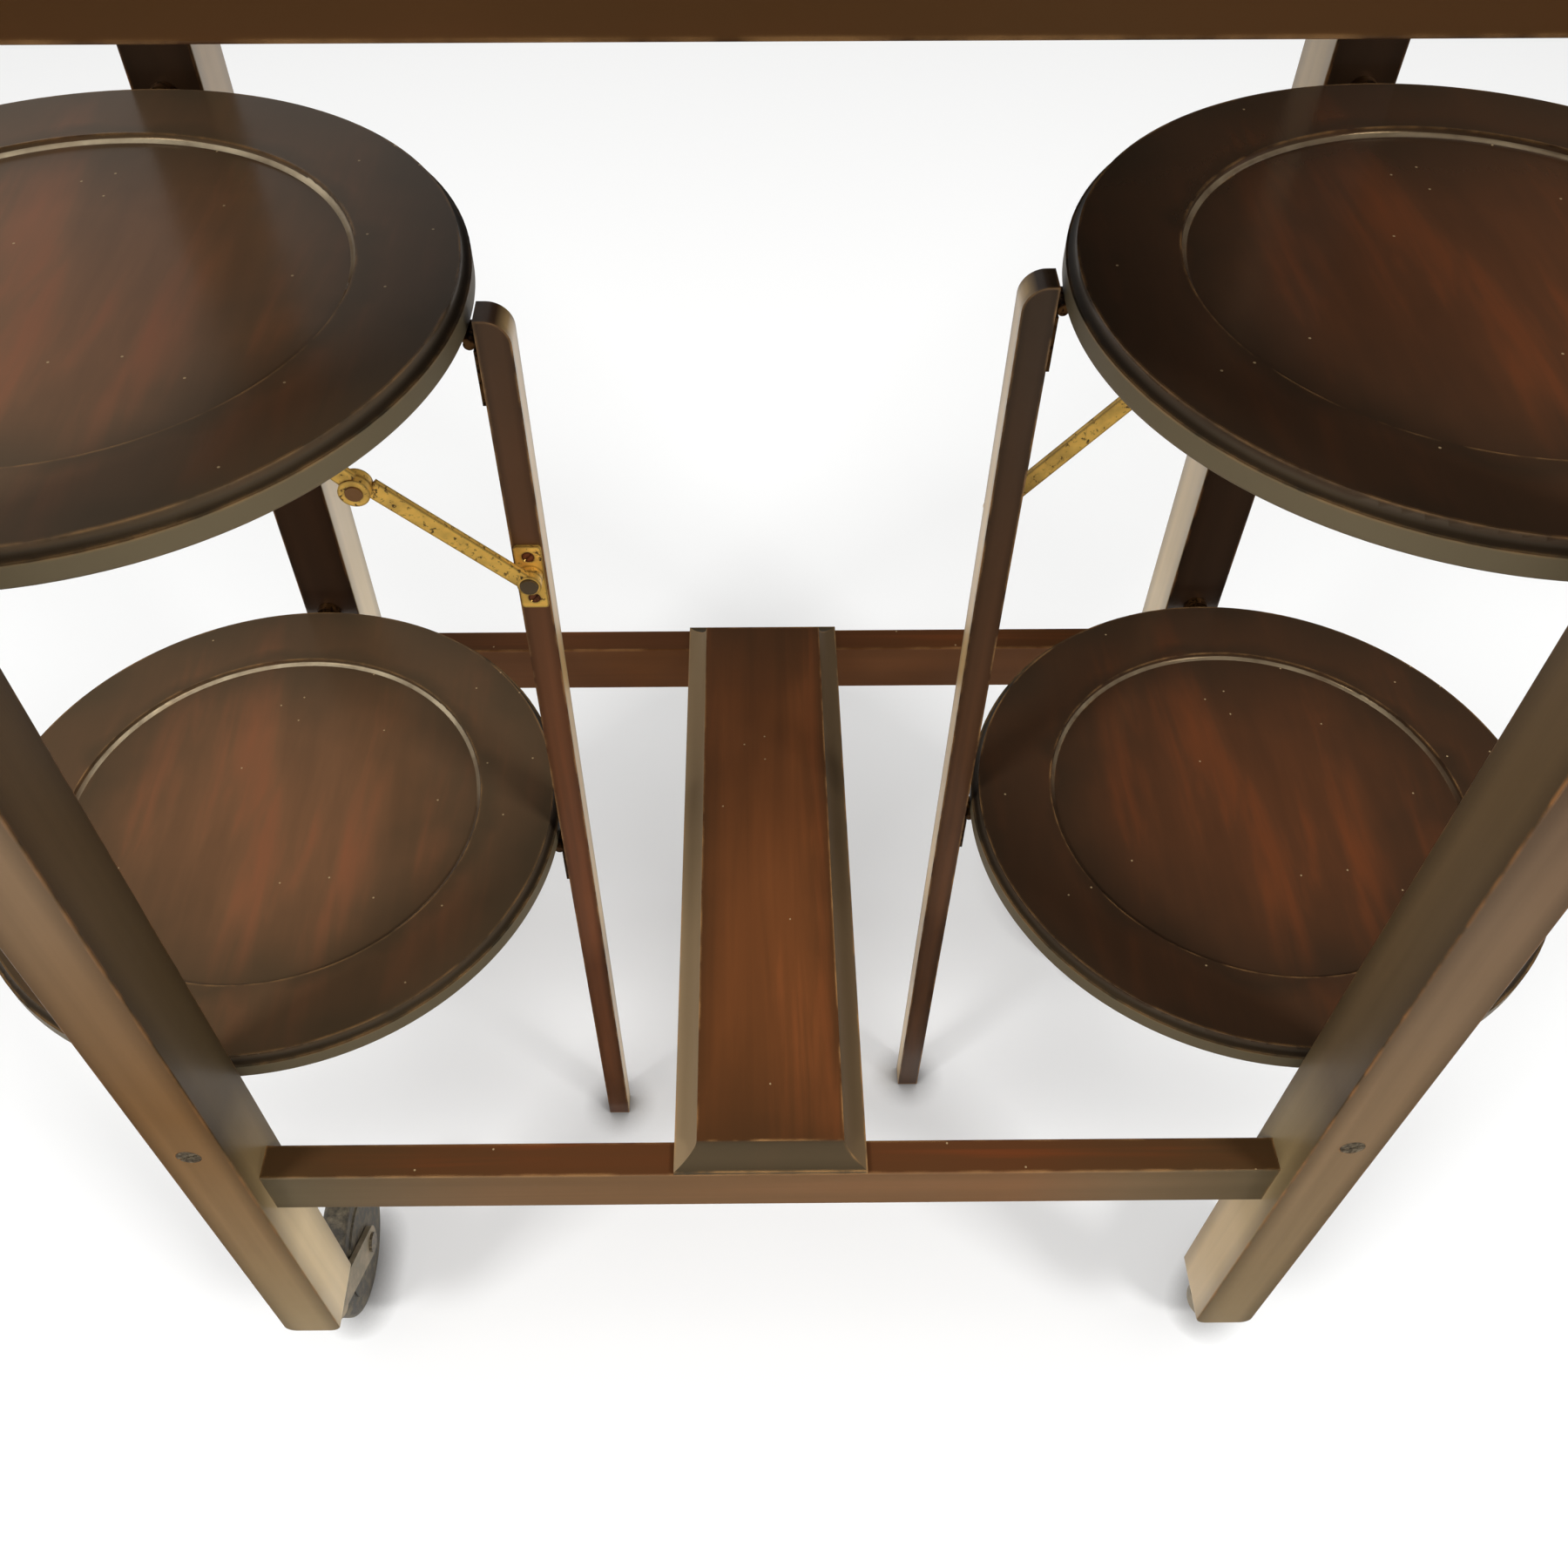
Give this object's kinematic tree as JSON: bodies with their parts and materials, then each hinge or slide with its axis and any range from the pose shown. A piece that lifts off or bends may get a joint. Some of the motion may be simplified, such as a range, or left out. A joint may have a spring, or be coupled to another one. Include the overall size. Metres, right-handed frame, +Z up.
{
  "type": "folding cake-stand side table",
  "caption": "Dark mahogany side table on castors; round dished plates at both ends tilt on pivot screws and fold up with a slim hinged leg, locked by a jointed brass stay.",
  "frame": {"origin": "on the floor, under the middle of the table top", "axes": "+X along the table's length towards the right-hand plates, +Y to the back, +Z up"},
  "size_m": [0.7436, 0.374, 0.7425],
  "materials": {
    "mahogany": "dark polished, worn",
    "brass": "lacquered, spotted",
    "aged_brass": "dulled brown",
    "old_steel": "darkened",
    "castor_iron": "worn, dull",
    "worn_rubber": "worn, dull"
  },
  "bodies": {
    "frame": {"front_left_leg": "mahogany", "front_right_leg": "mahogany", "back_left_leg": "mahogany", "back_right_leg": "mahogany", "front_stretcher": "mahogany", "back_stretcher": "mahogany", "centre_board": "mahogany", "table_top": "mahogany", "left_end_cleat": "mahogany", "right_end_cleat": "mahogany", "wood_screws": "old_steel", "plate_pivot_screws": "old_steel", "pivot_spacers": "aged_brass", "castor_sockets": "castor_iron"},
    "left_upper_plate_body": {"left_upper_plate": "mahogany", "left_upper_plate_leaf": "brass", "left_upper_plate_screws": "aged_brass", "left_stay_bracket": "brass"},
    "left_lower_plate_body": {"left_lower_plate": "mahogany", "left_lower_plate_leaf": "brass", "left_lower_plate_screws": "aged_brass"},
    "left_stand_leg_body": {"left_stand_leg": "mahogany", "left_upper_stand_leaf": "brass", "left_lower_stand_leaf": "brass", "left_stand_leg_screws": "aged_brass", "left_stay_plate": "brass"},
    "left_stay_upper_arm_body": {"left_stay_upper_arm": "brass"},
    "left_stay_lower_arm_body": {"left_stay_lower_arm": "brass"},
    "right_upper_plate_body": {"right_upper_plate": "mahogany", "right_upper_plate_leaf": "brass", "right_upper_plate_screws": "aged_brass", "right_stay_bracket": "brass"},
    "right_lower_plate_body": {"right_lower_plate": "mahogany", "right_lower_plate_leaf": "brass", "right_lower_plate_screws": "aged_brass"},
    "right_stand_leg_body": {"right_stand_leg": "mahogany", "right_upper_stand_leaf": "brass", "right_lower_stand_leaf": "brass", "right_stand_leg_screws": "aged_brass", "right_stay_plate": "brass"},
    "right_stay_upper_arm_body": {"right_stay_upper_arm": "brass"},
    "right_stay_lower_arm_body": {"right_stay_lower_arm": "brass"},
    "front_left_castor_swivel_body": {"front_left_castor_fork": "castor_iron", "front_left_castor_axle": "old_steel"},
    "front_left_castor_wheel_body": {"front_left_castor_hub": "castor_iron", "front_left_castor_tyre": "worn_rubber"},
    "front_right_castor_swivel_body": {"front_right_castor_fork": "castor_iron", "front_right_castor_axle": "old_steel"},
    "front_right_castor_wheel_body": {"front_right_castor_hub": "castor_iron", "front_right_castor_tyre": "worn_rubber"},
    "back_left_castor_swivel_body": {"back_left_castor_fork": "castor_iron", "back_left_castor_axle": "old_steel"},
    "back_left_castor_wheel_body": {"back_left_castor_hub": "castor_iron", "back_left_castor_tyre": "worn_rubber"},
    "back_right_castor_swivel_body": {"back_right_castor_fork": "castor_iron", "back_right_castor_axle": "old_steel"},
    "back_right_castor_wheel_body": {"back_right_castor_hub": "castor_iron", "back_right_castor_tyre": "worn_rubber"}
  },
  "joints": [
    {"name": "left_upper_plate_tilt", "type": "hinge", "parent": "frame", "child": "left_upper_plate_body", "pos_m": [-0.2355, 0, 0.5632], "axis": [0, -1, 0], "range_deg": [0, 88]},
    {"name": "left_lower_plate_tilt", "type": "hinge", "parent": "frame", "child": "left_lower_plate_body", "pos_m": [-0.2355, 0, 0.2848], "axis": [0, -1, 0], "range_deg": [0, 88]},
    {"name": "left_stand_leg_fold", "type": "hinge", "parent": "left_upper_plate_body", "child": "left_stand_leg_body", "pos_m": [-0.0994, 0, 0.5541], "axis": [0, -1, 0], "range_deg": [-88, 0]},
    {"name": "left_stay_upper_fold", "type": "hinge", "parent": "left_upper_plate_body", "child": "left_stay_upper_arm_body", "pos_m": [-0.1804, 0, 0.5501], "axis": [0, -1, 0], "range_deg": [0, 48]},
    {"name": "left_stay_lower_fold", "type": "hinge", "parent": "left_stand_leg_body", "child": "left_stay_lower_arm_body", "pos_m": [-0.0911, 0, 0.4541], "axis": [0, -1, 0], "range_deg": [-44, 0]},
    {"name": "right_upper_plate_tilt", "type": "hinge", "parent": "frame", "child": "right_upper_plate_body", "pos_m": [0.2355, 0, 0.5632], "axis": [0, 1, 0], "range_deg": [0, 88]},
    {"name": "right_lower_plate_tilt", "type": "hinge", "parent": "frame", "child": "right_lower_plate_body", "pos_m": [0.2355, 0, 0.2848], "axis": [0, 1, 0], "range_deg": [0, 88]},
    {"name": "right_stand_leg_fold", "type": "hinge", "parent": "right_upper_plate_body", "child": "right_stand_leg_body", "pos_m": [0.0994, 0, 0.5541], "axis": [0, 1, 0], "range_deg": [-88, 0]},
    {"name": "right_stay_upper_fold", "type": "hinge", "parent": "right_upper_plate_body", "child": "right_stay_upper_arm_body", "pos_m": [0.1804, 0, 0.5501], "axis": [0, 1, 0], "range_deg": [0, 48]},
    {"name": "right_stay_lower_fold", "type": "hinge", "parent": "right_stand_leg_body", "child": "right_stay_lower_arm_body", "pos_m": [0.0911, 0, 0.4541], "axis": [0, 1, 0], "range_deg": [-44, 0]},
    {"name": "front_left_castor_swivel", "type": "hinge", "parent": "frame", "child": "front_left_castor_swivel_body", "pos_m": [-0.23425, -0.15825, 0.07], "axis": [0, 0, 1], "continuous": true},
    {"name": "front_left_castor_roll", "type": "hinge", "parent": "front_left_castor_swivel_body", "child": "front_left_castor_wheel_body", "pos_m": [-0.23425, -0.11325, 0.04], "axis": [1, 0, 0], "continuous": true},
    {"name": "front_right_castor_swivel", "type": "hinge", "parent": "frame", "child": "front_right_castor_swivel_body", "pos_m": [0.23425, -0.15825, 0.07], "axis": [0, 0, 1], "continuous": true},
    {"name": "front_right_castor_roll", "type": "hinge", "parent": "front_right_castor_swivel_body", "child": "front_right_castor_wheel_body", "pos_m": [0.26317, -0.12378, 0.04], "axis": [0.766, -0.6428, 0], "continuous": true},
    {"name": "back_left_castor_swivel", "type": "hinge", "parent": "frame", "child": "back_left_castor_swivel_body", "pos_m": [-0.23425, 0.15825, 0.07], "axis": [0, 0, 1], "continuous": true},
    {"name": "back_left_castor_roll", "type": "hinge", "parent": "back_left_castor_swivel_body", "child": "back_left_castor_wheel_body", "pos_m": [-0.22489, 0.11423, 0.04], "axis": [-0.9781, -0.2079, 0], "continuous": true},
    {"name": "back_right_castor_swivel", "type": "hinge", "parent": "frame", "child": "back_right_castor_swivel_body", "pos_m": [0.23425, 0.15825, 0.07], "axis": [0, 0, 1], "continuous": true},
    {"name": "back_right_castor_roll", "type": "hinge", "parent": "back_right_castor_swivel_body", "child": "back_right_castor_wheel_body", "pos_m": [0.2226, 0.11478, 0.04], "axis": [-0.9659, 0.2588, 0], "continuous": true}
  ],
  "couplings": [
    {"joint": "left_lower_plate_tilt", "follows": "left_upper_plate_tilt", "ratio": 1},
    {"joint": "left_stand_leg_fold", "follows": "left_upper_plate_tilt", "ratio": -1},
    {"joint": "left_stay_upper_fold", "follows": "left_upper_plate_tilt", "ratio": 0.5437},
    {"joint": "left_stay_lower_fold", "follows": "left_upper_plate_tilt", "ratio": -0.4969},
    {"joint": "right_lower_plate_tilt", "follows": "right_upper_plate_tilt", "ratio": 1},
    {"joint": "right_stand_leg_fold", "follows": "right_upper_plate_tilt", "ratio": -1},
    {"joint": "right_stay_upper_fold", "follows": "right_upper_plate_tilt", "ratio": 0.5437},
    {"joint": "right_stay_lower_fold", "follows": "right_upper_plate_tilt", "ratio": -0.4969}
  ]
}
